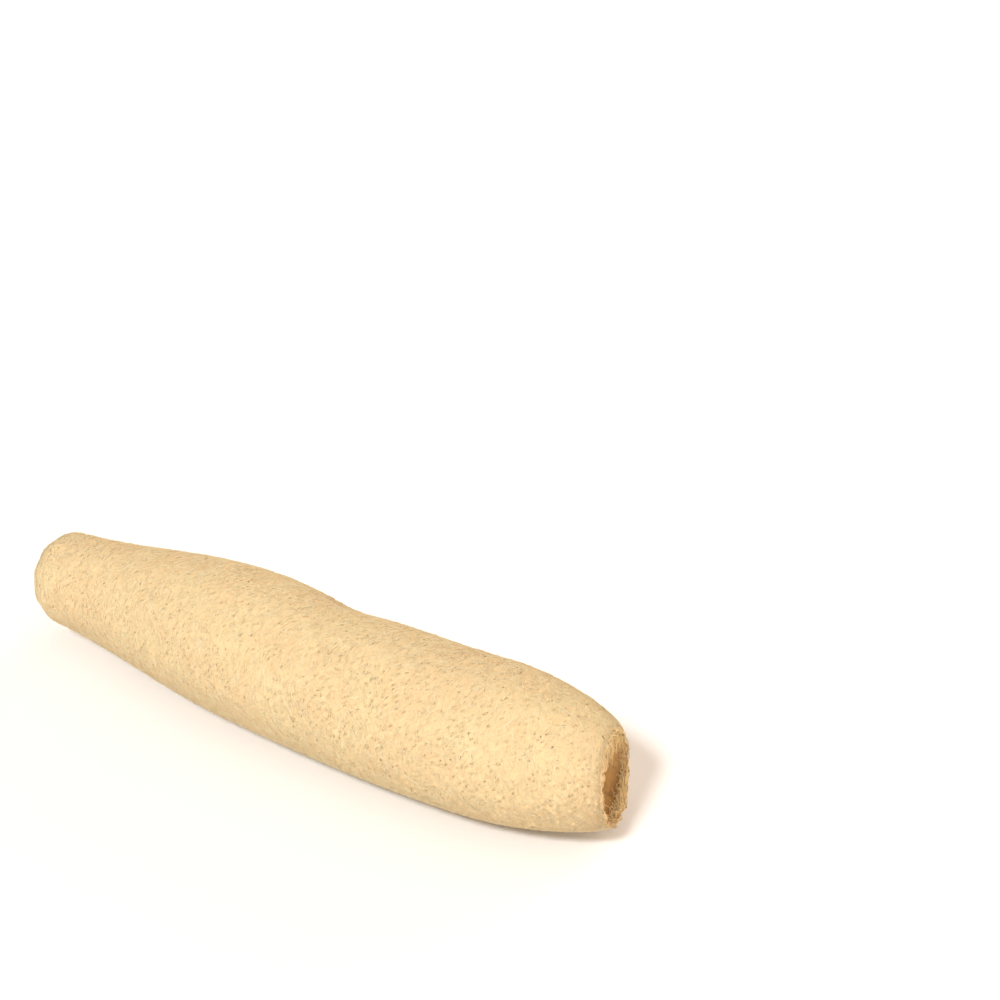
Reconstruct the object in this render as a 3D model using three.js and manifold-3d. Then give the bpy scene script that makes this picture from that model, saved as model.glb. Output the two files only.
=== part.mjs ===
// A natural loofah sponge: one dried fruit, peeled to its fibre net and cut open at one end.
// Millimetres, +Z up. It lies on its side along X, the closed tip at -X and the cut mouth at +X.
import * as THREE from "three";
import { mergeVertices } from "three/addons/utils/BufferGeometryUtils.js";
import Module from "manifold-3d";

const wasm = await Module();
wasm.setup();

// Outer form
const LENGTH = 370;
const BELLY_RADIUS = 42.5;
const TIP_RADIUS = 27;
const MOUTH_RADIUS = 25;
const TIP_DOME = 19; // the blunt tip rounds off over this length
const TIP_DOME_POWER = 2.6;
const SWELL = 154; // from the tip, the body widens to the belly over this length
const SHOULDER = 66; // before the mouth, the belly draws in over this length
const SHOULDER_START_POWER = 1.7;
const SHOULDER_END_POWER = 0.7;
const FLATTENING = 0.96; // height over width
const UNDERSIDE_LIFT = 0.55; // how much of the slimmer ends' lost radius shows as lift off the ground

// Lie of the fruit
const BOW = 10.4; // the middle bows this far to -Y
const S_BEND = 12.7; // and the two halves bend against each other
const TIP_LEAN = 0.28; // slope of the tip's face, its top edge reaching out
const MOUTH_LEAN = 0.14; // slope of the cut, its top edge set back
const LEAN_REACH = 60; // both slopes fade over this length
const MOUTH_RISE = 2;
const REST_SINK = 1.2; // the net is pressed flat this far where it rests

// Net on the outside
const ROWS = 100;
const COLUMNS = 48; // a multiple of 3, so that the net closes on itself
const FIRST_ROW = 2; // the rows nearer the pole give way to the scar at the tip
const PORE_DEPTH = 3;
const PORE_VARIATION = 0.4; // share by which one pore is deeper or shallower than another
const STRAND_WAVE = 0.35; // strands rise and fall by this much
const NET_JITTER = 0.2; // share of the mesh width by which a knot is off its place
const RIBS = 10;
const RIB_HEIGHT = 0.4;
const DENT_DEPTH = 3; // a shallow dent on the back, near the middle
const DENT_AT = 200;
const DENT_LENGTH = 22;
const DENT_ANGLE = Math.PI / 3;
const LIP_RAGGED = 1.8; // the cut edge is uneven by this much

// Hollows
const LIP_THICKNESS = 3;
const MOUTH_DEPTH = 22;
const MOUTH_FLARE = 5; // the hollow behind the lip is this much wider at its floor
const MOUTH_SIDES = 24;
const MOUTH_RINGS = 5;
const CHAMBERS = 3;
const CHAMBER_TURN = Math.PI / 2; // direction of the first chamber, straight up
const CHAMBER_SIDES = 12;
const CHAMBER_RINGS = 15;
const CHAMBER_RING_POWER = 1.5; // rings lie closer together towards the blind end
const CHAMBER_START = 42; // blind end, from the tip
const CHAMBER_DOME = 26;
const WALL = 7;
const CORE_SHARE = 0.06; // radius of the core between the chambers over the body's radius
const SEPTUM = 4.5;
const CHAMBER_WAVE = 0.6;
const CUT_OVERLAP = 3; // cutters run this far past what they open into

const COLOUR = 0xf0d29c;
const ROUGHNESS = 0.9;
const SEED = 7;

// A repeatable stream of numbers from -1 to 1.
function seededNoise(seed) {
  let state = seed;
  return () => {
    state = (state * 1664525 + 1013904223) % 4294967296;
    return (state / 4294967296) * 2 - 1;
  };
}

const noise = seededNoise(SEED);

// Radius of the smooth body at a distance s from the tip.
function radiusAt(s) {
  const swell = TIP_RADIUS + (BELLY_RADIUS - TIP_RADIUS) * THREE.MathUtils.smoothstep(s, 0, SWELL);
  const inDome = 1 - THREE.MathUtils.clamp(s / TIP_DOME, 0, 1);
  const dome = Math.pow(1 - Math.pow(inDome, TIP_DOME_POWER), 1 / TIP_DOME_POWER);
  const inShoulder = THREE.MathUtils.clamp((s - LENGTH + SHOULDER) / SHOULDER, 0, 1);
  const left = Math.pow(1 - Math.pow(inShoulder, SHOULDER_START_POWER), SHOULDER_END_POWER);
  return swell * dome - (BELLY_RADIUS - MOUTH_RADIUS) * (1 - left);
}

// Ribs along the body and the dent, added to the smooth radius.
function unevenness(s, angle) {
  const rib = RIB_HEIGHT * Math.cos(RIBS * angle);
  const facing = Math.max(Math.cos(angle - DENT_ANGLE), 0);
  const dent = DENT_DEPTH * facing ** 2 * Math.exp(-(((s - DENT_AT) / DENT_LENGTH) ** 2));
  return rib - dent;
}

// The point at distance s along the bent body, at an angle and a radius from its centreline.
function place(s, angle, radius) {
  const t = s / LENGTH - 0.5;
  const bend = BOW * (4 * t * t - 1) + S_BEND * (8 * t ** 3 - 2 * t);
  const slope = (8 * BOW * t + S_BEND * (24 * t * t - 2)) / LENGTH;
  const sideways = radius * Math.cos(angle);
  const upward = FLATTENING * radius * Math.sin(angle);
  const nearTip = THREE.MathUtils.clamp(1 - s / LEAN_REACH, 0, 1) ** 2;
  const nearMouth = THREE.MathUtils.clamp(1 - (LENGTH - s) / LEAN_REACH, 0, 1) ** 2;
  const lean = TIP_LEAN * nearTip + MOUTH_LEAN * nearMouth;
  const body = radiusAt(s);
  const height = FLATTENING * (body + UNDERSIDE_LIFT * (BELLY_RADIUS - body)) + MOUTH_RISE * nearMouth;
  const across = sideways / Math.hypot(1, slope);
  return new THREE.Vector3(s - across * slope - lean * upward, bend + across, height + upward - REST_SINK);
}

// A closed solid through rings of equal point counts, with a pole at each end.
// Odd rings may stand half a step round from even ones.
function loft(startPole, rings, endPole) {
  const sides = rings[0].length;
  const points = [startPole, ...rings.flat(), endPole];
  const at = (ring, side) => 1 + ring * sides + (side % sides);
  const triangles = [];
  for (let side = 0; side < sides; side++) {
    triangles.push(0, at(0, side + 1), at(0, side));
    triangles.push(points.length - 1, at(rings.length - 1, side), at(rings.length - 1, side + 1));
  }
  for (let ring = 0; ring < rings.length - 1; ring++) {
    const odd = ring % 2;
    for (let side = 0; side < sides; side++) {
      const [a, b] = [at(ring, side), at(ring, side + 1)];
      const [c, d] = [at(ring + 1, side), at(ring + 1, side + 1)];
      triangles.push(...(odd ? [a, d, c, a, b, d] : [a, b, c, b, d, c]));
    }
  }
  const geometry = new THREE.BufferGeometry().setFromPoints(points);
  geometry.setIndex(triangles);
  return geometry;
}

function toSolid(geometry) {
  const merged = mergeVertices(geometry);
  return new wasm.Manifold(
    new wasm.Mesh({
      numProp: 3,
      vertProperties: new Float32Array(merged.attributes.position.array),
      triVerts: new Uint32Array(merged.index.array),
    }),
  );
}

function toGeometry(solid) {
  const mesh = solid.getMesh();
  const geometry = new THREE.BufferGeometry();
  geometry.setAttribute("position", new THREE.BufferAttribute(mesh.vertProperties, mesh.numProp));
  geometry.setIndex(new THREE.BufferAttribute(mesh.triVerts, 1));
  return geometry;
}

// Rows of stations, evenly spaced over the surface from the tip's pole to the lip.
function meridianStations() {
  const samples = 4 * ROWS;
  const points = Array.from({ length: samples + 1 }, (_, i) => {
    const s = LENGTH * (i / samples) ** 2;
    return new THREE.Vector2(s, radiusAt(s));
  });
  const curve = new THREE.SplineCurve(points);
  curve.arcLengthDivisions = samples * 4;
  return curve.getSpacedPoints(ROWS);
}

// The outside: a net of six-sided meshes, whose knots stand on the surface round a sunken pore each.
function netSolid() {
  const stations = meridianStations();
  const rowStep = stations[ROWS].distanceTo(stations[ROWS - 1]);
  const rings = [];
  for (let row = FIRST_ROW; row <= ROWS; row++) {
    const station = stations[row];
    const along = station.clone().sub(stations[row - 1]).normalize();
    const atLip = row === ROWS;
    const ring = [];
    for (let column = 0; column < COLUMNS; column++) {
      const isPore = (column - Math.floor(row / 2) - row + 3 * ROWS) % 3 === 0;
      const sunk = isPore ? PORE_DEPTH * (1 + PORE_VARIATION * noise()) : STRAND_WAVE * noise();
      const shift = atLip ? LIP_RAGGED * noise() : NET_JITTER * rowStep * noise();
      const turn = column + (row % 2) / 2 + NET_JITTER * noise();
      const angle = (turn * 2 * Math.PI) / COLUMNS;
      const s = station.x + along.x * shift;
      const crest = station.y + along.y * shift + unevenness(s, angle);
      const point = place(s + along.y * sunk, angle, crest - along.x * sunk);
      const pressedFlat = place(s, angle, crest).z < 0;
      point.z = pressedFlat ? 0 : Math.max(point.z, 0);
      ring.push(point);
    }
    rings.push(ring);
  }
  const scar = place(PORE_DEPTH, 0, 0);
  const cut = place(LENGTH, 0, 0);
  return toSolid(loft(scar, rings, cut));
}

// The hollow that the cut opens, down to the floor where the chambers begin.
function mouthCutter() {
  const floor = LENGTH - MOUTH_DEPTH;
  const outside = LENGTH + CUT_OVERLAP + LIP_RAGGED;
  const rings = [];
  for (let i = 0; i < MOUTH_RINGS; i++) {
    const s = THREE.MathUtils.lerp(floor, outside, i / (MOUTH_RINGS - 1));
    const flare = MOUTH_FLARE * Math.max((LENGTH - s) / MOUTH_DEPTH, 0);
    const radius = MOUTH_RADIUS - LIP_THICKNESS + flare;
    rings.push(
      Array.from({ length: MOUTH_SIDES }, (_, side) =>
        place(s, (side * 2 * Math.PI) / MOUTH_SIDES, radius + CHAMBER_WAVE * noise()),
      ),
    );
  }
  return toSolid(loft(place(floor, 0, 0), rings, place(outside, 0, 0)));
}

// One seed chamber: an oval passage beside the core, blind at the tip and open at the mouth's floor.
function chamberCutter(direction) {
  const end = LENGTH - MOUTH_DEPTH + CUT_OVERLAP;
  const rings = [];
  const centreRadius = (s) => (radiusAt(s) - WALL + CORE_SHARE * radiusAt(s)) / 2;
  for (let i = 1; i <= CHAMBER_RINGS; i++) {
    const s = THREE.MathUtils.lerp(CHAMBER_START, end, (i / CHAMBER_RINGS) ** CHAMBER_RING_POWER);
    const inDome = Math.max(1 - (s - CHAMBER_START) / CHAMBER_DOME, 0);
    const dome = Math.sqrt(1 - inDome ** 2);
    const middle = centreRadius(s);
    const halfDepth = (radiusAt(s) - WALL - middle) * dome;
    const halfWidth = (middle * Math.sin(Math.PI / CHAMBERS) - SEPTUM / 2) * dome;
    const ring = [];
    for (let side = 0; side < CHAMBER_SIDES; side++) {
      const around = (side * 2 * Math.PI) / CHAMBER_SIDES;
      const wave = CHAMBER_WAVE * noise();
      const outward = middle + (halfDepth + wave) * Math.cos(around);
      const aside = (halfWidth + wave) * Math.sin(around);
      ring.push(place(s, direction + Math.atan2(aside, outward), Math.hypot(outward, aside)));
    }
    rings.push(ring);
  }
  const blind = place(CHAMBER_START, direction, centreRadius(CHAMBER_START));
  return toSolid(loft(blind, rings, place(end, direction, centreRadius(end))));
}

let solid = netSolid().subtract(mouthCutter());
for (let i = 0; i < CHAMBERS; i++) {
  solid = solid.subtract(chamberCutter(CHAMBER_TURN + (i * 2 * Math.PI) / CHAMBERS));
}

// The origin is the middle of the underside.
const geometry = toGeometry(solid);
geometry.computeBoundingBox();
const middle = geometry.boundingBox.getCenter(new THREE.Vector3());
geometry.translate(-middle.x, -middle.y, -geometry.boundingBox.min.z);

const material = new THREE.MeshStandardMaterial({ color: COLOUR, roughness: ROUGHNESS, metalness: 0 });
const loofah = new THREE.Mesh(geometry, material);
loofah.name = "loofah";

const part = new THREE.Group();
part.add(loofah);

export default part;
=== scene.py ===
"""A natural loofah sponge: a body of packed fibre under a net of woven strands, with a ragged cut mouth."""
import math

import bpy
import numpy as np
from mathutils import Matrix, Vector
from mathutils.kdtree import KDTree


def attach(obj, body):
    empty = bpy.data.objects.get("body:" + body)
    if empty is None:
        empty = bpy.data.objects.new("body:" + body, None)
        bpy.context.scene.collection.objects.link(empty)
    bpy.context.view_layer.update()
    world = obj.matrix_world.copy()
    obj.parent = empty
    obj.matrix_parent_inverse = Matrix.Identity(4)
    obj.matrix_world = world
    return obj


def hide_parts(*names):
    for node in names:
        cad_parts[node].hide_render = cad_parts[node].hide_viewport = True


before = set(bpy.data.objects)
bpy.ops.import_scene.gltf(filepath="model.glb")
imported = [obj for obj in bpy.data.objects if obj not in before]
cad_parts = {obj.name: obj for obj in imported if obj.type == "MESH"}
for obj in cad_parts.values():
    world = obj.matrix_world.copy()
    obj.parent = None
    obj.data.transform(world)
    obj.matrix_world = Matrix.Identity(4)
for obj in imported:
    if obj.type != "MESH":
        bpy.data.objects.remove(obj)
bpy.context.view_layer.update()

MM = 0.001
TURN = 2 * math.pi
NODE = "loofah"
BODY = "root"
RANDOM_SEED = 11

# Outer form in millimetres, as in the part's source
LENGTH = 370
BELLY_RADIUS = 42.5
TIP_RADIUS = 27
MOUTH_RADIUS = 25
TIP_DOME = 19
TIP_DOME_POWER = 2.6
SWELL = 154
SHOULDER = 66
SHOULDER_START_POWER = 1.7
SHOULDER_END_POWER = 0.7
FLATTENING = 0.96
UNDERSIDE_LIFT = 0.55
BOW = 10.4
S_BEND = 12.7
TIP_LEAN = 0.28
MOUTH_LEAN = 0.14
LEAN_REACH = 60
MOUTH_RISE = 2
REST_SINK = 1.2
RIBS = 10
RIB_HEIGHT = 0.4
DENT_DEPTH = 3
DENT_AT = 200
DENT_LENGTH = 22
DENT_ANGLE = math.pi / 3
ORIGIN_ALONG = 187.43  # the part's origin, from the tip and from the straight line between the ends
ORIGIN_ACROSS = -10.09

# Hollows: sizes in millimetres
LIP_THICKNESS = 3
LIP_RAGGED = 1.2
LIP_REACH = 6
MOUTH_DEPTH = 22
MOUTH_FLOOR = LENGTH - MOUTH_DEPTH
MOUTH_FLARE = 5
MOUTH_RINGS = 26
MOUTH_SIDES = 120
CHAMBERS = 3
CHAMBER_TURN = math.pi / 2
CHAMBER_START = 42
CHAMBER_DOME = 26
CHAMBER_RINGS = 90
CHAMBER_SIDES = 44
CHAMBER_FIRST_RING = 0.02  # as a share of the chamber's length
CHAMBER_CROWDING = 1.3  # over 1 crowds the rings towards the domed end
WALL = 7
CORE_SHARE = 0.06
SEPTUM = 4.5
CUT_OVERLAP = 3

# Packed fibre under the net: sizes in millimetres
MERIDIAN_POINTS = 6001
SLOPE_STEP = 0.8
BODY_ROWS = 340
BODY_COLUMNS = 210
BODY_FIRST_RING = 3.0
BODY_SINK = 0.68
BODY_ROUGHNESS = 0.06
FLOOR_GAP = 0.15
# Shades of the packed fibre: a little below the strands', so the gaps between strands show painted shade;
# the next two darken low spots and the bottom of each pore with painted shade
BODY_SHADE = 0.57
ROUGH_PAINTED_SHADE = 0.03
PIT_PAINTED_SHADE = 0.11
POLE_SHADES = (0.4, 0.3)  # at the tip, and in the middle of the mouth

# Pores: sizes in millimetres, the others as shares
PORE_SPACING = 3.4
PORE_JITTER = 0.45
PORES_ROUND_TIP = 3
PORES_KEPT = 0.6
PORE_RADIUS = 0.17
PORE_SPREAD = 0.5
PORE_DEPTH = 0.8
PIT_RANGE = (0.5, 1.5)
PORE_REACH = 1.5
PORE_TESTS = 9

# Random fields: for each wave the size of its features in millimetres, its height and its seed
BODY_FIELD = ((2.6, 1.0, 1), (1.4, 0.7, 2))
LIP_FIELD = ((3.0, LIP_RAGGED, 3),)
MOUTH_FIELD = ((5, 0.5, 4), (2, 0.35, 5))
CHAMBER_FIELD = ((6, 0.5, 6), (2.5, 0.4, 7))
DRIFT_FIELD = ((22, 0.3, 8),)
PORE_FIELD = ((17, 0.5, 9),)
CELL_PRIMES = np.array([73856093, 19349663, 83492791])
SEED_PRIME = 2654435761
MIXING = ((13, 1274126177), (16, 2246822519))  # shifts and primes that scramble a cell's number
WORD = 0xFFFFFFFF
HALF_WORD = 0xFFFF
VALUE_SHIFT = 8

# Strands of the net: sizes in millimetres, angles in radians
LAYER_TRIANGLES = 172000
SIDES = 3
STRAND_RADIUS = 0.2
STRAND_SCATTER = 0.004  # in turns
STRAND_STEPS = (0.65, 1.3)
STRAND_TURNING = 0.05
TANGLE_START = 45  # from here to the end of the tip, strands turn more and more every way
TANGLE_END = 8
TANGLE = 1.5
LEAST_RADIUS = 5
LIP_MARGIN = 0.3
POLE_MARGIN = 2
WEAVE_HEIGHT = (0.02, 0.12)
WEAVE_WAVES = 6  # all waves are in radians from end to end of a fibre
STRAND_TUCK = 0.4
LEVEL_SPREAD = 0.09
UP_STEP = 0.5
# A strand's shade falls the lower it lies, painted shade, around a random tint of its own
STRAND_SHADE = 0.77
STRAND_PAINTED_SHADE_RISE = 0.25
STRAND_TINT = 0.1
STRAND_SHADES = (0.3, 0.8)
BLEND = 0.78  # how far a strand shades like the surface that it lies on
GOLDEN = (math.sqrt(5) - 1) / 2  # turning by this share each time spreads the strands evenly
MAP_MARGIN = 0.1
MAP_END = (0, 0.3, 0.6)

# All fibres: their thickness varies, narrows to the ends, and the ends are tucked in
THICKNESS_SPREAD = 0.25
EVEN_SPREAD = 0.22
FULLER = 0.1
TAPER = 0.4
STRONG_TAPER = 0.5
TAPER_POWER = 3
TUCK_POWER = 4
PHASES = 6  # a wave starts anywhere up to this angle
FACING_STEP = 1
TO_THE_LIGHT = np.array([0, -0.3, 0.6])

# Rim of the cut edge: sizes in millimetres
RIM_FIBRES = 700
RIM_POINTS = 7
RIM_LENGTH = (5, 14)
RIM_WANDER = 0.5
RIM_WAVES = (3, 9)
RIM_BAND = (-0.3, 2.2)
RIM_TUCK = 2.5
RIM_PROUD = 0.2
RIM_SLANT = 0.4
RIM_SHADE = 0.92
RIM_TINT = 0.04

# Torn ends that stand out of the rim: sizes in millimetres
ENDS_FIBRES = 300
ENDS_POINTS = 4
ENDS_ROOT = 1.2
ENDS_SHAPE = 2.0
ENDS_REACH = 0.25
ENDS_LONGEST = 1.0
ENDS_BEND = 0.5
ENDS_SWING = 0.06
ENDS_PROUD = 0.1
ENDS_TAPER = 0.6

# Lining of the mouth: sizes in millimetres
LINING_FIBRES = 650
LINING_POINTS = 8
LINING_HEADINGS = (0.0, 1.3)  # round the mouth, or steeply along it
LINING_SHARES = (0.6, 0.4)
LINING_SPREAD = 0.25
LINING_LENGTH = (8, 18)
LINING_DEPTHS = (0.02, 1.0)
LINING_MARGIN = 0.5
LINING_LIFT = 0.5
LINING_WAVES = (4, 9)
LINING_TUCK = 1.2
LINING_SHADE = 0.97
LINING_TINT = 0.02

# Torn flaps that hang into the mouth: sizes in millimetres, angles in radians
FLAP_POINTS = 6
FLAP_WIDTH = 0.45
FLAP_TAPER_WIDTH = 0.75
FLAP_HANG = (0.35, 1)
FLAP_SINK = 0.5
FLAP_DROOP_POWER = 1.2
FLAP_CURL = 0.12
FLAP_WAVES = (2, 7)
FLAP_SPLAY = 0.3
FLAP_PROUD = 0.1
FLAP_ROOTS = (0, 2.5)
FLAP_SWAY = -0.3
FLAP_SWAY_SPREAD = 0.9
FLAP_SWAY_LIMITS = (-2, 1.5)
FLAP_RADIUS = 1.1 * STRAND_RADIUS
FLAP_SHADE = 0.9
FLAP_SHADE_RISE = 0.04
FLAP_TINT = 0.03

# Fibres over the septa: sizes in millimetres, angles in radians
SEPTA_FIBRES = 420
SEPTA_POINTS = 6
SEPTA_LENGTH = (0.5, 1.5)
SEPTA_PROUD = (0, 0.7)
SEPTA_TUCK = 1.5
SEPTA_FIRST = 0.97  # rings round a chamber's mouth, as shares of its size
SEPTA_SHAPE = 1.5
SEPTA_SPREAD = 0.11
SEPTA_WIDEST = 0.4
SEPTA_WANDER = 0.05
SEPTA_WAVES = 5
SEPTA_MARGIN = 1
SEPTA_SHADE = 0.93
SEPTA_TINT = 0.02

# Fibres inside the chambers: sizes in millimetres
INNER_FIBRES = 900
INNER_POINTS = 5
INNER_LENGTH = (6, 14)
INNER_REACH = 90
INNER_CROWDING = 1.3
INNER_PROUD = 0.3
INNER_LIFT = 0.4
INNER_WAVES = (4, 9)
INNER_SHADE = 0.97
INNER_SHADE_FALL = 0.05
INNER_TINT = 0.02

# Fibre's colours by shade, from painted shade at the bottom of a pore, 0, over the lower strands and gaps to
# the crest of the net, 0.8, to the golden walls inside, 1
FIBRE_COLOURS_WITH_PAINTED_SHADE = (
    (0.0, (0.38, 0.26, 0.14)),
    (0.3, (0.66, 0.47, 0.27)),
    (0.55, (0.725, 0.565, 0.335)),
    (0.8, (0.745, 0.65, 0.43)),
    (1.0, (0.93, 0.63, 0.285)),
)
PATCH_TINTS = ((0.35, (1.0, 0.86, 0.74)), (0.65, (1.0, 0.98, 0.86)))
PATCH_SCALE = 28
PATCH_DETAIL = 3
PATCH_STRENGTH = 0.35
GRAIN_SCALE = 900
GRAIN_DETAIL = 2
ROUGHNESS = (0.75, 0.95)
FELT_SCALE = 1100
FELT_DETAIL = 3
FELT_STRENGTH = 0.3
FELT_HEIGHT = 0.6 * MM
SPECULAR = 0.1

# Floor, in metres, and surrounding light
FLOOR_HALF = 6.0
FLOOR_COLOUR = (0.92, 0.92, 0.94)
FLOOR_ROUGHNESS = 0.9
WORLD_COLOUR = (1.0, 0.75, 0.55)
WORLD_STRENGTH = 0.44

# The photograph's camera: lengths in metres, the sensor in millimetres
PHOTO_SIZE = 1000
FOCAL_PIXELS = 2300
SENSOR = 36.0
CAMERA_AZIMUTH = math.radians(32.19)
CAMERA_ELEVATION = math.radians(30)
CAMERA_DEPTH = 1.22026
TARGET = Vector((0, 0, 0.04))
TARGET_PIXEL = (307.07, 667.89)

rng = np.random.default_rng(RANDOM_SEED)


def smoothstep(x, low, high):
    """0 below a low value, 1 above a high one, and a smooth rise between."""
    t = np.clip((x - low) / (high - low), 0, 1)
    return t * t * (3 - 2 * t)


def unit(vectors):
    """Vectors scaled to a length of 1."""
    return vectors / np.linalg.norm(vectors, axis=-1, keepdims=True)


def drawn(low, high, count):
    """A random value between two limits for each fibre, as a column."""
    return rng.uniform(low, high, (count, 1))


def scattered(middle, spread, count):
    """A random value about a middle one for each fibre, as a column."""
    return rng.normal(middle, spread, (count, 1))


def radius_at(s):
    """Radius of the smooth body at a distance s from the tip."""
    swell = TIP_RADIUS + (BELLY_RADIUS - TIP_RADIUS) * smoothstep(s, 0, SWELL)
    in_dome = 1 - np.clip(s / TIP_DOME, 0, 1)
    dome = (1 - in_dome**TIP_DOME_POWER) ** (1 / TIP_DOME_POWER)
    in_shoulder = np.clip((s - LENGTH + SHOULDER) / SHOULDER, 0, 1)
    left = (1 - in_shoulder**SHOULDER_START_POWER) ** SHOULDER_END_POWER
    return swell * dome - (BELLY_RADIUS - MOUTH_RADIUS) * (1 - left)


def unevenness(s, angle):
    """Ribs along the body and the dent, added to the smooth radius."""
    rib = RIB_HEIGHT * np.cos(RIBS * angle)
    facing = np.maximum(np.cos(angle - DENT_ANGLE), 0)
    dent = DENT_DEPTH * facing**2 * np.exp(-(((s - DENT_AT) / DENT_LENGTH) ** 2))
    return rib - dent


def place(s, angle, radius):
    """Points at distance s along the bent body, at an angle and a radius from its centreline, in metres."""
    s, angle, radius = np.broadcast_arrays(s, angle, radius)
    t = s / LENGTH - 0.5
    bend = BOW * (4 * t * t - 1) + S_BEND * (8 * t**3 - 2 * t)
    slope = (8 * BOW * t + S_BEND * (24 * t * t - 2)) / LENGTH
    upward = FLATTENING * radius * np.sin(angle)
    near_tip = np.clip(1 - s / LEAN_REACH, 0, 1) ** 2
    near_mouth = np.clip(1 - (LENGTH - s) / LEAN_REACH, 0, 1) ** 2
    lean = TIP_LEAN * near_tip + MOUTH_LEAN * near_mouth
    body = radius_at(s)
    height = FLATTENING * (body + UNDERSIDE_LIFT * (BELLY_RADIUS - body)) + MOUTH_RISE * near_mouth
    across = radius * np.cos(angle) / np.hypot(1, slope)
    x = s - across * slope - lean * upward - ORIGIN_ALONG
    y = bend + across - ORIGIN_ACROSS
    z = height + upward - REST_SINK
    return np.stack([x, y, z], axis=-1) * MM


def meridian_table():
    """Length run over the surface from the pole, with the distance from the tip and the radius there."""
    s = (LENGTH + 2 * LIP_RAGGED) * np.linspace(0, 1, MERIDIAN_POINTS) ** 2
    r = radius_at(s)
    run = np.concatenate([[0], np.cumsum(np.hypot(np.diff(s), np.diff(r)))])
    return run, s, r


RUN, RUN_S, RUN_R = meridian_table()
SURFACE_LENGTH = np.interp(LENGTH, RUN_S, RUN)


def station(u):
    """Distance from the tip, radius and unit tangent at a run u over the surface."""
    s = np.interp(u, RUN, RUN_S)
    r = np.interp(u, RUN, RUN_R)
    before = np.clip(u - SLOPE_STEP, 0, SURFACE_LENGTH)
    after = np.clip(u + SLOPE_STEP, SLOPE_STEP, RUN[-1])
    ds = np.interp(after, RUN, RUN_S) - np.interp(before, RUN, RUN_S)
    dr = np.interp(after, RUN, RUN_R) - np.interp(before, RUN, RUN_R)
    size = np.hypot(ds, dr)
    return s, r, ds / size, dr / size


def skin(u, angle, height):
    """Points at a height over the outer surface, in metres."""
    s, r, along, widening = station(u)
    return place(s - widening * height, angle, r + unevenness(s, angle) + along * height)


def wave(points, size, seed):
    """Smooth random values from -1 to 1 at points in metres, with features of a size in millimetres."""
    p = points / (size * MM)
    cell = np.floor(p).astype(np.int64)
    f = p - cell
    f = f * f * (3 - 2 * f)
    total = np.zeros(p.shape[:-1])
    for corner in range(8):
        step = np.array([corner & 1, corner >> 1 & 1, corner >> 2 & 1])
        key = ((cell + step) * CELL_PRIMES).sum(-1) ^ (seed * SEED_PRIME)
        for shift, prime in MIXING:
            key = (key ^ (key >> shift)) * prime & WORD
        value = 2 * (key >> VALUE_SHIFT & HALF_WORD) / HALF_WORD - 1
        total += value * np.prod(np.where(step, f, 1 - f), axis=-1)
    return total


def field(points, waves):
    """Sum of random waves at points in metres."""
    return sum(height * wave(points, size, seed) for size, height, seed in waves)


def lip_edge(angle):
    """How far the torn edge of the cut stands out, in millimetres."""
    return field(skin(np.array(SURFACE_LENGTH), angle, -BODY_SINK), LIP_FIELD)


def net_edge(angle):
    """Run over the surface at which the net ends, just inside the torn edge."""
    return SURFACE_LENGTH + lip_edge(angle) - LIP_MARGIN


def new_mesh(name, points, triangles, shade, uv=None, normals=None):
    """A smooth-shaded mesh object of triangles, with a shade that the material turns into a colour."""
    mesh = bpy.data.meshes.new(name)
    mesh.from_pydata(points.reshape(-1, 3), [], triangles.reshape(-1, 3))
    values = shade.ravel().astype(np.float32)
    mesh.attributes.new("shade", "FLOAT", "POINT").data.foreach_set("value", values)
    if uv is not None:
        layer = mesh.uv_layers.new(name="OFBake")
        layer.uv.foreach_set("vector", uv.ravel().astype(np.float32))
    mesh.polygons.foreach_set("use_smooth", np.ones(len(mesh.polygons), bool))
    mesh.update()
    if normals is not None:
        mesh.normals_split_custom_set_from_vertices(normals.reshape(-1, 3))
    piece = bpy.data.objects.new(name, mesh)
    bpy.context.scene.collection.objects.link(piece)
    return piece


def lofted(rings):
    """Points and triangles of a closed form through rings of points, with a pole at each end."""
    count, sides = rings.shape[:2]
    points = np.concatenate([rings.reshape(-1, 3), [rings[0].mean(0), rings[-1].mean(0)]])
    side = np.arange(sides)
    after = (side + 1) % sides
    low = (np.arange(count - 1) * sides)[:, None]
    a, b, c, d = low + side, low + after, low + sides + side, low + sides + after
    walls = np.stack([np.stack([a, b, c], -1), np.stack([b, d, c], -1)], 2).reshape(-1, 3)
    first = np.stack([np.full(sides, count * sides), after, side], -1)
    last_ring = (count - 1) * sides
    last = np.stack([np.full(sides, count * sides + 1), last_ring + side, last_ring + after], -1)
    return points, np.concatenate([walls, first, last])


def place_pores():
    """Where the pores lie on the surface: run, angle and radius of each."""
    rows = np.arange(PORE_SPACING, SURFACE_LENGTH - PORE_SPACING / 2, PORE_SPACING)
    runs, angles = [], []
    for row in rows:
        around = TURN * station(row)[1]
        count = max(int(around / PORE_SPACING), PORES_ROUND_TIP)
        jitter = rng.uniform(-PORE_JITTER, PORE_JITTER, count)
        angles.append((np.arange(count) + jitter + rng.uniform()) * TURN / count)
        runs.append(row + rng.uniform(-PORE_JITTER, PORE_JITTER, count) * PORE_SPACING)
    runs, angles = np.concatenate(runs), np.concatenate(angles)
    kept = rng.uniform(size=len(runs)) < PORES_KEPT + field(skin(runs, angles, 0.0), PORE_FIELD)
    runs, angles = runs[kept], angles[kept]
    sizes = PORE_RADIUS * np.exp(rng.normal(0, PORE_SPREAD, len(runs)))
    return runs, angles, sizes


def search_tree(points):
    """A tree that finds the nearest of many points."""
    tree = KDTree(len(points))
    for number, point in enumerate(points):
        tree.insert(point, number)
    tree.balance()
    return tree


PORE_RUN, PORE_ANGLE, PORE_SIZE = place_pores()
PORE_POINT = skin(PORE_RUN, PORE_ANGLE, 0.0)
PORE_TREE = search_tree(PORE_POINT)


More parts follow.
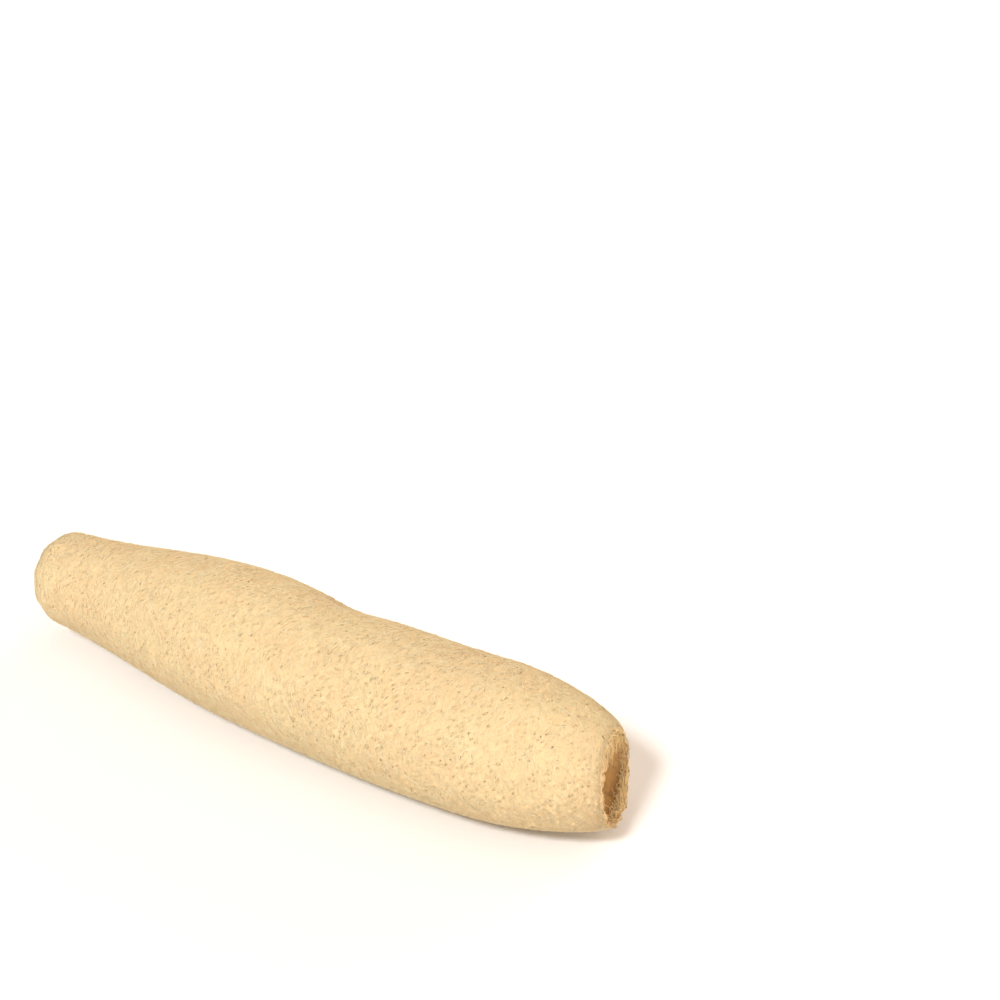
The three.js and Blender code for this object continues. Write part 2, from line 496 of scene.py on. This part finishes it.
def nearest_pore(points):
    """Number of the nearest pore and the distance to it in millimetres, for each point in metres."""
    found = [PORE_TREE.find(point) for point in points.reshape(-1, 3)]
    number = np.array([f[1] for f in found]).reshape(points.shape[:-1])
    distance = np.array([f[2] for f in found]).reshape(points.shape[:-1]) / MM
    return number, distance


def body_rings():
    """Rings of the packed fibre and their shades, with a corner moved to the bottom of each pore; the shades
    hold painted shade, darker on low spots and in the pits.
    """
    rows = np.linspace(BODY_FIRST_RING, SURFACE_LENGTH, BODY_ROWS)
    turn = TURN / BODY_COLUMNS
    run, angle = np.meshgrid(rows, np.arange(BODY_COLUMNS) * turn, indexing="ij")
    pit = np.zeros(run.shape)
    row = np.rint((PORE_RUN - rows[0]) / (rows[1] - rows[0])).astype(int).clip(1, BODY_ROWS - 2)
    column = np.rint(PORE_ANGLE / turn).astype(int) % BODY_COLUMNS
    run[row, column] = PORE_RUN
    angle[row, column] = PORE_ANGLE
    pit[row, column] = np.clip(PORE_SIZE / PORE_RADIUS, *PIT_RANGE)
    crest = skin(run, angle, -BODY_SINK)
    rough = field(crest, BODY_FIELD)
    ragged = field(crest, LIP_FIELD) * smoothstep(run, SURFACE_LENGTH - LIP_REACH, SURFACE_LENGTH)
    rings = skin(run + ragged, angle, BODY_ROUGHNESS * rough - BODY_SINK - PORE_DEPTH * pit)
    rings[..., 2] = np.maximum(rings[..., 2], FLOOR_GAP * MM)
    # Painted shade: darker on low spots of the rough surface and at the bottom of each pore.
    shade = np.clip(BODY_SHADE + ROUGH_PAINTED_SHADE * rough - PIT_PAINTED_SHADE * pit, 0, 1)
    return rings, shade


def mouth_wall(s):
    """Radius of the wall inside the mouth."""
    return MOUTH_RADIUS - LIP_THICKNESS + MOUTH_FLARE * np.maximum((LENGTH - s) / MOUTH_DEPTH, 0)


def mouth_rings():
    """Rings of the hollow at the cut end, with a rough wall."""
    s = np.linspace(MOUTH_FLOOR, LENGTH + CUT_OVERLAP + 2 * LIP_RAGGED, MOUTH_RINGS)[:, None]
    angle = (np.arange(MOUTH_SIDES) * TURN / MOUTH_SIDES)[None, :]
    rough = field(place(s, angle, mouth_wall(s)), MOUTH_FIELD)
    return place(s, angle, mouth_wall(s) + rough)


def chamber_direction(number):
    """The way from the core to the middle of a chamber."""
    return CHAMBER_TURN + number * TURN / CHAMBERS


def chamber_section(s):
    """Middle of a chamber, its half depth along the radius and its half width, at a distance s."""
    middle = (radius_at(s) - WALL + CORE_SHARE * radius_at(s)) / 2
    return middle, radius_at(s) - WALL - middle, middle * math.sin(math.pi / CHAMBERS) - SEPTUM / 2


def in_chamber(s, direction, outward, aside):
    """Points given across a chamber that lies in a direction from the core."""
    return place(s, direction + np.arctan2(aside, outward), np.hypot(outward, aside))


def chamber_rings(direction):
    """Rings of a seed chamber, domed at its far end, with a rough wall."""
    share = np.linspace(CHAMBER_FIRST_RING, 1, CHAMBER_RINGS) ** CHAMBER_CROWDING
    s = (CHAMBER_START + (MOUTH_FLOOR + CUT_OVERLAP - CHAMBER_START) * share)[:, None]
    around = (np.arange(CHAMBER_SIDES) * TURN / CHAMBER_SIDES)[None, :]
    dome = np.sqrt(1 - np.clip(1 - (s - CHAMBER_START) / CHAMBER_DOME, 0, 1) ** 2)
    middle, half_depth, half_width = chamber_section(s)
    outward = middle + half_depth * dome * np.cos(around)
    aside = half_width * dome * np.sin(around)
    rough = field(in_chamber(s, direction, outward, aside), CHAMBER_FIELD)
    return in_chamber(s, direction, outward + rough * np.cos(around), aside + rough * np.sin(around))


def cutter(name, rings):
    """A closed form that is cut out of the body, and leaves the shade of an inner wall."""
    points, triangles = lofted(rings)
    return new_mesh(name, points, triangles, np.ones(len(points)))


def make_body():
    """The packed fibre, with the mouth and the chambers cut out of it."""
    rings, shade = body_rings()
    points, triangles = lofted(rings)
    body = new_mesh("loofah_body", points, triangles, np.append(shade.ravel(), POLE_SHADES))
    cutters = [cutter("mouth_cutter", mouth_rings())]
    for number in range(CHAMBERS):
        cutters.append(cutter("chamber_cutter", chamber_rings(chamber_direction(number))))
    for tool in cutters:
        cut = body.modifiers.new("cut", "BOOLEAN")
        cut.operation = "DIFFERENCE"
        cut.solver = "MANIFOLD"
        cut.object = tool
    bpy.context.view_layer.update()
    mesh = bpy.data.meshes.new_from_object(body.evaluated_get(bpy.context.evaluated_depsgraph_get()))
    body.modifiers.clear()
    body.data = mesh
    for tool in cutters:
        bpy.data.objects.remove(tool)
    return body


def tubes(paths, radii, ups):
    """Points, triangles and outward directions of thin tubes along many paths of equal point counts."""
    count, length = radii.shape
    tangent = unit(np.gradient(paths, axis=1))
    side = unit(np.cross(tangent, ups))
    up = np.cross(side, tangent)
    corner = np.arange(SIDES)
    turn = corner * TURN / SIDES + math.pi / 2
    ring = np.cos(turn)[:, None] * side[:, :, None] + np.sin(turn)[:, None] * up[:, :, None]
    points = paths[:, :, None] + radii[:, :, None, None] * ring
    base = np.arange(count)[:, None, None] * length * SIDES
    step = np.arange(length - 1)[None, :, None] * SIDES
    a = base + step + corner
    b = base + step + (corner + 1) % SIDES
    walls = np.stack([np.stack([a, a + SIDES, b], -1), np.stack([b, a + SIDES, b + SIDES], -1)], 3)
    ends = np.stack([base[:, 0] + corner, base[:, 0] + corner[::-1] + (length - 1) * SIDES], 1)
    return points, np.concatenate([walls.reshape(count, -1, 3), ends], 1), ring


def tube_map(count, length):
    """Map corners for tubes: a small cell for each, along its length and round its sides."""
    across = math.ceil(math.sqrt(count))
    number = np.arange(count)
    corner = np.stack([number % across, number // across], -1)[:, None, None] / across
    u0 = np.arange(length - 1)[:, None] / (length - 1) + np.zeros(SIDES)
    u1 = u0 + 1 / (length - 1)
    v0 = np.zeros((length - 1, 1)) + np.arange(SIDES) / SIDES
    v1 = v0 + 1 / SIDES
    first = np.stack([np.stack([u0, v0], -1), np.stack([u1, v0], -1), np.stack([u0, v1], -1)], -2)
    second = np.stack([np.stack([u0, v1], -1), np.stack([u1, v0], -1), np.stack([u1, v1], -1)], -2)
    walls = np.stack([first, second], 2).reshape(-1, 3, 2)
    ends = np.array([[[u, v] for v in MAP_END] for u in (0, 1)])
    cell = MAP_MARGIN + (1 - 2 * MAP_MARGIN) * np.concatenate([walls, ends])
    return corner + cell[None] / across


def blended(ring, facing):
    """Normals of thin tubes, turned towards the way that the mat they lie in faces."""
    return unit(ring * (1 - BLEND) + unit(facing)[:, :, None] * BLEND)


def tube_piece(name, centre, thick, ups, shade, facing):
    """A piece of tubes through points in metres, on a surface that faces a way."""
    points, triangles, ring = tubes(centre, thick * MM, ups)
    shade = np.repeat(shade, SIDES, axis=1)
    return new_mesh(name, points, triangles, shade, tube_map(*thick.shape), blended(ring, facing))


def from_middle(points):
    """Places along a fibre, from -0.5 at one end to 0.5 at the other."""
    return np.linspace(-0.5, 0.5, points)[None, :]


def from_root(points):
    """Places along a fibre, from 0 at its root to 1 at its free end."""
    return np.linspace(0, 1, points)[None, :]


def towards_ends(along, power):
    """0 in the middle of a fibre, rising to 1 at both ends."""
    return np.abs(2 * along) ** power


def ripple(along, waves, count):
    """A wave along each fibre, with a length and a start of its own."""
    return np.sin(along * drawn(*waves, count) + drawn(0, PHASES, count))


def thickness(taper, count, spread=THICKNESS_SPREAD, fuller=0, radius=STRAND_RADIUS):
    """Radius along each fibre in millimetres, which narrows by a taper."""
    return radius * np.exp(scattered(fuller, spread, count)) * (1 - taper)


def strand_starts(count):
    """Run and angle where each strand starts, spread evenly over the surface inside the torn edge."""
    area = np.concatenate([[0], np.cumsum(RUN_R[1:] * np.diff(RUN))])
    share = (np.arange(count) + rng.uniform(size=count)) / count
    run = np.interp(share, area / area[-1], RUN)
    angle = TURN * (np.arange(count) * GOLDEN + rng.uniform() + rng.normal(0, STRAND_SCATTER, count))
    return np.minimum(run, net_edge(angle)), angle


def strand_headings(run, angle, lean, spread):
    """The way that each strand sets out: round the body with a lean, and any way near the tip."""
    count = len(run)
    drift = field(skin(run, angle, 0.0), DRIFT_FIELD)
    heading = lean * rng.choice([-1, 1], count) + drift + rng.normal(0, spread, count)
    near_tip = smoothstep(-run, -TANGLE_START, -TANGLE_END)
    heading += near_tip * rng.uniform(-TANGLE, TANGLE, count)
    return heading + math.pi * rng.integers(0, 2, count)


def strand_paths(run, angle, heading, step, points):
    """Runs and angles along strands that turn a little at each step and stay between pole and edge."""
    count = len(run)
    step = step * rng.uniform(*STRAND_STEPS, count)
    turning = rng.normal(0, STRAND_TURNING, count) * step
    runs, angles = np.zeros((count, points)), np.zeros((count, points))
    for i in range(points):
        runs[:, i] = run
        angles[:, i] = angle
        heading = heading + turning
        angle = angle + step * np.cos(heading) / np.maximum(station(run)[1], LEAST_RADIUS)
        edge = net_edge(angle)
        run = POLE_MARGIN + np.abs(run + step * np.sin(heading) - POLE_MARGIN)
        run = edge - np.abs(edge - run)
    return runs, angles


def strand_layer(name, segments, step, lean, spread, level, radius):
    """One layer of the net: strands that run round the body, lean along it and weave in and out."""
    count = LAYER_TRIANGLES // (2 * SIDES * segments + 2)
    along = from_middle(segments + 1)
    run, angle = strand_starts(count)
    heading = strand_headings(run, angle, lean, spread)
    runs, angles = strand_paths(run, angle, heading, step, segments + 1)
    weave = drawn(*WEAVE_HEIGHT, count) * np.sin(WEAVE_WAVES * along + drawn(0, PHASES, count))
    tuck = STRAND_TUCK * towards_ends(along, TAPER_POWER)
    height = level + scattered(0, LEVEL_SPREAD, count) + weave - tuck
    thick = thickness(TAPER * towards_ends(along, TAPER_POWER), count, radius=radius)
    centre = skin(runs, angles, height)
    up = skin(runs, angles, height + UP_STEP) - centre
    centre = clear_pores(centre, up, thick)
    centre[..., 2] = np.maximum(centre[..., 2], thick * MM)
    # Painted shade: a strand is darker the lower it lies and where its ends tuck in; the tint is its own
    # tone.
    shade = STRAND_SHADE + STRAND_PAINTED_SHADE_RISE * height + scattered(0, STRAND_TINT, count)
    return tube_piece(name, centre, thick, up, np.clip(shade, *STRAND_SHADES), up)


def clear_pores(centre, up, thick):
    """Move each strand sideways off the pore that it covers most."""
    at = np.linspace(0, 1, PORE_TESTS) * (centre.shape[1] - 1)
    low = np.minimum(at.astype(int), centre.shape[1] - 2)
    part = (at - low)[None, :, None]
    points = centre[:, low] * (1 - part) + centre[:, low + 1] * part
    tangent = centre[:, low + 1] - centre[:, low]
    side = unit(np.cross(up[:, low], tangent))
    pore, distance = nearest_pore(points)
    lateral = ((points - PORE_POINT[pore]) * side).sum(-1) / MM
    cover = PORE_SIZE[pore] + thick.mean(1, keepdims=True) - np.abs(lateral)
    over = np.where(distance < PORE_REACH, cover, 0).clip(0)
    worst = over.argmax(1)
    each = np.arange(len(centre))
    shift = over[each, worst] * np.where(lateral[each, worst] < 0, -1, 1) * MM
    return centre + (side[each, worst] * shift[:, None])[:, None]


def fibres(name, centre, thick, shade, facing):
    """A piece of loose fibres through points in metres, on a surface that faces a way."""
    ups = np.broadcast_to(rng.normal(size=(len(centre), 1, 3)), centre.shape)
    shade = np.broadcast_to(np.clip(shade, 0, 1), thick.shape)
    return tube_piece(name, centre, thick, ups, shade, facing)


def out_of_mouth(s, angle, radius):
    """The way that a mat at the cut edge faces: out of the mouth, and upwards to the light."""
    outwards = place(s + FACING_STEP, angle, radius) - place(s, angle, radius)
    return outwards + TO_THE_LIGHT * MM


def make_rim():
    """Fibres that run round the cut edge."""
    count = RIM_FIBRES
    along = from_middle(RIM_POINTS)
    depth = LIP_THICKNESS * drawn(0, 1, count)
    angle = drawn(0, TURN, count) + along * drawn(*RIM_LENGTH, count) / MOUTH_RADIUS
    wander = RIM_WANDER * ripple(along, RIM_WAVES, count)
    tuck = RIM_TUCK * towards_ends(along, TUCK_POWER)
    s = LENGTH + lip_edge(angle) - drawn(*RIM_BAND, count) + wander - tuck
    radius = MOUTH_RADIUS + RIM_PROUD - depth + scattered(0, RIM_SLANT, count) * along
    thick = thickness(STRONG_TAPER * towards_ends(along, TAPER_POWER), count, EVEN_SPREAD)
    shade = scattered(RIM_SHADE, RIM_TINT, count)
    return fibres("loofah_rim", place(s, angle, radius), thick, shade, out_of_mouth(s, angle, radius))


def make_ends():
    """Short torn ends that stand out of the cut edge."""
    count = ENDS_FIBRES
    along = from_root(ENDS_POINTS)
    depth = LIP_THICKNESS * drawn(0, 1, count)
    angle = drawn(0, TURN, count)
    reach = np.minimum(rng.gamma(ENDS_SHAPE, ENDS_REACH, (count, 1)), ENDS_LONGEST)
    s = LENGTH + lip_edge(angle) - ENDS_ROOT + (ENDS_ROOT + reach) * along
    bend = scattered(0, ENDS_BEND, count) * along**2
    swing = angle + scattered(0, ENDS_SWING, count) * along**2
    radius = MOUTH_RADIUS + ENDS_PROUD - depth + bend
    thick = thickness(ENDS_TAPER * along, count)
    shade = scattered(RIM_SHADE, RIM_TINT, count)
    centre = place(s, swing, radius)
    return fibres("loofah_ends", centre, thick, shade, place(s, swing, radius + FACING_STEP) - centre)


def make_lining():
    """Fibres on the wall inside the mouth."""
    count = LINING_FIBRES
    along = from_middle(LINING_POINTS)
    steep = rng.choice(LINING_HEADINGS, (count, 1), p=LINING_SHARES)
    heading = steep * rng.choice([-1, 1], (count, 1)) + scattered(0, LINING_SPREAD, count)
    length = drawn(*LINING_LENGTH, count)
    s = LENGTH - MOUTH_DEPTH * drawn(*LINING_DEPTHS, count) + length * along * np.sin(heading)
    s = np.clip(s, MOUTH_FLOOR + LINING_MARGIN, LENGTH)
    wall = mouth_wall(s)
    angle = drawn(0, TURN, count) + length * along * np.cos(heading) / wall
    lift = LINING_LIFT * ripple(along, LINING_WAVES, count) - LINING_TUCK * towards_ends(along, TUCK_POWER)
    thick = thickness(TAPER * towards_ends(along, TAPER_POWER), count, fuller=FULLER)
    shade = scattered(LINING_SHADE, LINING_TINT, count)
    centre = place(s, angle, wall - lift)
    inwards = place(s, angle, wall - lift - FACING_STEP) - centre
    return fibres("loofah_lining", centre, thick, shade, inwards)


def make_flap(name, count, towards, reach):
    """A torn mat of fibres that hangs from one side of the cut edge into the mouth."""
    along = from_root(FLAP_POINTS)
    aside = scattered(0, FLAP_WIDTH, count)
    hang = reach * drawn(*FLAP_HANG, count) * np.exp(-((aside / FLAP_TAPER_WIDTH) ** 2))
    radius = MOUTH_RADIUS - FLAP_SINK - hang * along**FLAP_DROOP_POWER
    curl = FLAP_CURL * ripple(along, FLAP_WAVES, count)
    angle = towards + aside + scattered(0, FLAP_SPLAY, count) * along + curl
    root = LENGTH + lip_edge(towards + aside) + FLAP_PROUD - drawn(*FLAP_ROOTS, count)
    s = root + scattered(FLAP_SWAY, FLAP_SWAY_SPREAD, count).clip(*FLAP_SWAY_LIMITS) * along
    thick = thickness(STRONG_TAPER * along**TAPER_POWER, count, EVEN_SPREAD, radius=FLAP_RADIUS)
    shade = FLAP_SHADE + FLAP_SHADE_RISE * along + scattered(0, FLAP_TINT, count)
    return fibres(name, place(s, angle, radius), thick, shade, out_of_mouth(s, angle, radius))


def make_septa():
    """Fibres over the septa and the core, round the way into each chamber."""
    count = SEPTA_FIBRES
    along = from_middle(SEPTA_POINTS)
    direction = chamber_direction(rng.integers(0, CHAMBERS, (count, 1)))
    around = drawn(0, TURN, count) + along * drawn(*SEPTA_LENGTH, count)
    s = MOUTH_FLOOR + drawn(*SEPTA_PROUD, count) - SEPTA_TUCK * towards_ends(along, TUCK_POWER)
    middle, half_depth, half_width = chamber_section(s)
    wider = SEPTA_FIRST + np.minimum(rng.gamma(SEPTA_SHAPE, SEPTA_SPREAD, (count, 1)), SEPTA_WIDEST)
    wider = wider + SEPTA_WANDER * np.sin(along * SEPTA_WAVES + drawn(0, PHASES, count))
    outward = middle + wider * half_depth * np.cos(around)
    aside = wider * half_width * np.sin(around)
    inside = np.minimum((mouth_wall(MOUTH_FLOOR) - SEPTA_MARGIN) / np.hypot(outward, aside), 1)
    outward, aside = outward * inside, aside * inside
    thick = thickness(TAPER * towards_ends(along, TAPER_POWER), count, fuller=FULLER)
    shade = scattered(SEPTA_SHADE, SEPTA_TINT, count)
    centre = in_chamber(s, direction, outward, aside)
    facing = in_chamber(s + FACING_STEP, direction, outward, aside) - centre
    return fibres("loofah_septa", centre, thick, shade, facing)


def make_chambers():
    """Fibres on the walls of the chambers, as far in as the mouth shows."""
    count = INNER_FIBRES
    along = from_middle(INNER_POINTS)
    direction = chamber_direction(rng.integers(0, CHAMBERS, (count, 1)))
    heading = drawn(0, math.pi, count)
    length = drawn(*INNER_LENGTH, count)
    deep = INNER_REACH * drawn(0, 1, count) ** INNER_CROWDING
    s = np.minimum(MOUTH_FLOOR - deep + length * along * np.sin(heading), MOUTH_FLOOR + INNER_PROUD)
    middle, half_depth, half_width = chamber_section(s)
    around = drawn(0, TURN, count) + length * along * np.cos(heading) / half_width
    lift = INNER_LIFT * ripple(along, INNER_WAVES, count) - towards_ends(along, TUCK_POWER)
    outward = middle + (half_depth - lift) * np.cos(around)
    aside = (half_width - lift) * np.sin(around)
    thick = thickness(TAPER * towards_ends(along, TAPER_POWER), count, fuller=FULLER)
    shade = INNER_SHADE - INNER_SHADE_FALL * lift + scattered(0, INNER_TINT, count)
    centre = in_chamber(s, direction, outward, aside)
    inwards = in_chamber(s, direction, outward - np.cos(around), aside - np.sin(around)) - centre
    return fibres("loofah_chambers", centre, thick, shade, inwards)


def noise(tree, where, scale, detail):
    """A noise texture of a scale over the object's own space."""
    node = tree.nodes.new("ShaderNodeTexNoise")
    node.inputs["Scale"].default_value = scale
    node.inputs["Detail"].default_value = detail
    tree.links.new(where.outputs["Object"], node.inputs["Vector"])
    return node


def colour_ramp(tree, value, stops):
    """A ramp that turns a value into a colour, through colours at given positions."""
    node = tree.nodes.new("ShaderNodeValToRGB")
    elements = node.color_ramp.elements
    for element, (position, colour) in zip(elements, (stops[0], stops[-1])):
        element.position = position
        element.color = (*colour, 1)
    for position, colour in stops[1:-1]:
        elements.new(position).color = (*colour, 1)
    tree.links.new(value, node.inputs["Fac"])
    return node


def fibre_material():
    """Dry matt fibre: coloured by its shade, which holds painted shade in pores and low places, with warm
    and pale patches, a fine grain and a felted bump.
    """
    material = bpy.data.materials.new("loofah_fibre")
    material.use_nodes = True
    tree = material.node_tree
    nodes, links = tree.nodes, tree.links
    shader = nodes["Principled BSDF"]
    shader.inputs["Specular IOR Level"].default_value = SPECULAR
    where = nodes.new("ShaderNodeTexCoord")

    shade = nodes.new("ShaderNodeAttribute")
    shade.attribute_name = "shade"
    colour = colour_ramp(tree, shade.outputs["Fac"], FIBRE_COLOURS_WITH_PAINTED_SHADE)
    patch = noise(tree, where, PATCH_SCALE, PATCH_DETAIL)
    tint = colour_ramp(tree, patch.outputs["Fac"], PATCH_TINTS)
    tone = nodes.new("ShaderNodeMix")
    tone.data_type = "RGBA"
    tone.blend_type = "MULTIPLY"
    tone.inputs["Factor"].default_value = PATCH_STRENGTH
    links.new(colour.outputs["Color"], tone.inputs["A"])
    links.new(tint.outputs["Color"], tone.inputs["B"])
    links.new(tone.outputs["Result"], shader.inputs["Base Color"])

    grain = noise(tree, where, GRAIN_SCALE, GRAIN_DETAIL)
    rough = nodes.new("ShaderNodeMapRange")
    rough.inputs["To Min"].default_value, rough.inputs["To Max"].default_value = ROUGHNESS
    links.new(grain.outputs["Fac"], rough.inputs["Value"])
    links.new(rough.outputs["Result"], shader.inputs["Roughness"])

    felt = noise(tree, where, FELT_SCALE, FELT_DETAIL)
    bump = nodes.new("ShaderNodeBump")
    bump.inputs["Strength"].default_value = FELT_STRENGTH
    bump.inputs["Distance"].default_value = FELT_HEIGHT
    links.new(felt.outputs["Fac"], bump.inputs["Height"])
    links.new(bump.outputs["Normal"], shader.inputs["Normal"])
    return material


def make_floor():
    """A plain pale floor."""
    corners = [(x * FLOOR_HALF, y * FLOOR_HALF, 0) for x, y in ((-1, -1), (1, -1), (1, 1), (-1, 1))]
    mesh = bpy.data.meshes.new("floor")
    mesh.from_pydata(corners, [], [range(len(corners))])
    floor = bpy.data.objects.new("floor", mesh)
    bpy.context.scene.collection.objects.link(floor)
    material = bpy.data.materials.new("white_floor")
    material.use_nodes = True
    shader = material.node_tree.nodes["Principled BSDF"]
    shader.inputs["Base Color"].default_value = (*FLOOR_COLOUR, 1)
    shader.inputs["Roughness"].default_value = FLOOR_ROUGHNESS
    mesh.materials.append(material)


def make_camera():
    """A camera that sees the target at its pixel of the photograph, from the photograph's angle."""
    back = Vector((
        math.sin(CAMERA_AZIMUTH) * math.cos(CAMERA_ELEVATION),
        -math.cos(CAMERA_AZIMUTH) * math.cos(CAMERA_ELEVATION),
        math.sin(CAMERA_ELEVATION),
    ))
    right = Vector((math.cos(CAMERA_AZIMUTH), math.sin(CAMERA_AZIMUTH), 0))
    up = back.cross(right)
    across = (TARGET_PIXEL[0] - PHOTO_SIZE / 2) / FOCAL_PIXELS * CAMERA_DEPTH
    down = (TARGET_PIXEL[1] - PHOTO_SIZE / 2) / FOCAL_PIXELS * CAMERA_DEPTH
    data = bpy.data.cameras.new("camera")
    data.sensor_width = SENSOR
    data.lens = FOCAL_PIXELS / PHOTO_SIZE * SENSOR
    camera = bpy.data.objects.new("camera", data)
    bpy.context.scene.collection.objects.link(camera)
    turn = Matrix((right, up, back)).transposed().to_4x4()
    stand = TARGET + back * CAMERA_DEPTH - right * across + up * down
    camera.matrix_world = Matrix.Translation(stand) @ turn
    bpy.context.scene.camera = camera


def make_sun(name, towards, softness, strength, colour):
    """A soft light from far away, given by the direction towards it and its width in degrees."""
    data = bpy.data.lights.new(name, "SUN")
    data.angle = math.radians(softness)
    data.energy = strength
    data.color = colour
    sun = bpy.data.objects.new(name, data)
    sun.rotation_euler = Vector(towards).to_track_quat("Z", "Y").to_euler()
    bpy.context.scene.collection.objects.link(sun)


def make_lighting():
    """A warm, even surrounding light, a key light from the front and soft fills."""
    world = bpy.data.worlds.new("studio")
    world.use_nodes = True
    background = world.node_tree.nodes["Background"]
    background.inputs["Color"].default_value = (*WORLD_COLOUR, 1)
    background.inputs["Strength"].default_value = WORLD_STRENGTH
    bpy.context.scene.world = world
    bpy.context.scene.view_settings.view_transform = "Standard"
    make_sun("key", towards=(0.0, -0.69, 0.72), softness=11, strength=2.35, colour=(0.98, 1.0, 1.0))
    make_sun("overhead", towards=(0.25, 0.1, 1.0), softness=80, strength=0.65, colour=(1.0, 0.93, 0.84))
    make_sun("right_fill", towards=(0.66, -0.66, 0.32), softness=40, strength=0.85, colour=(1.0, 0.95, 0.88))
    make_sun("back_fill", towards=(0.15, 0.94, 0.30), softness=40, strength=1.3, colour=(1.0, 0.90, 0.78))


make_camera()
make_lighting()
make_floor()

pieces = [
    make_body(),
    strand_layer("loofah_net_1", segments=3, step=3.4, lean=0.95, spread=0.40, level=-0.50,
                 radius=1.1 * STRAND_RADIUS),
    strand_layer("loofah_net_2", segments=2, step=4.2, lean=0.45, spread=0.30, level=-0.40,
                 radius=STRAND_RADIUS),
    strand_layer("loofah_net_3", segments=2, step=4.0, lean=0.35, spread=0.30, level=-0.32,
                 radius=0.95 * STRAND_RADIUS),
    strand_layer("loofah_net_4", segments=3, step=2.8, lean=0.28, spread=0.30, level=-0.26,
                 radius=0.9 * STRAND_RADIUS),
    make_rim(),
    make_ends(),
    make_lining(),
    make_flap("loofah_upper_flap", count=360, towards=math.pi / 2 - 0.15, reach=13),
    make_flap("loofah_lower_flap", count=320, towards=0.45 - math.pi / 2, reach=12),
    make_septa(),
    make_chambers(),
]
fibre = fibre_material()
for piece in pieces:
    piece.data.materials.clear()
    piece.data.materials.append(fibre)
    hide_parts(NODE)
    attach(piece, BODY)
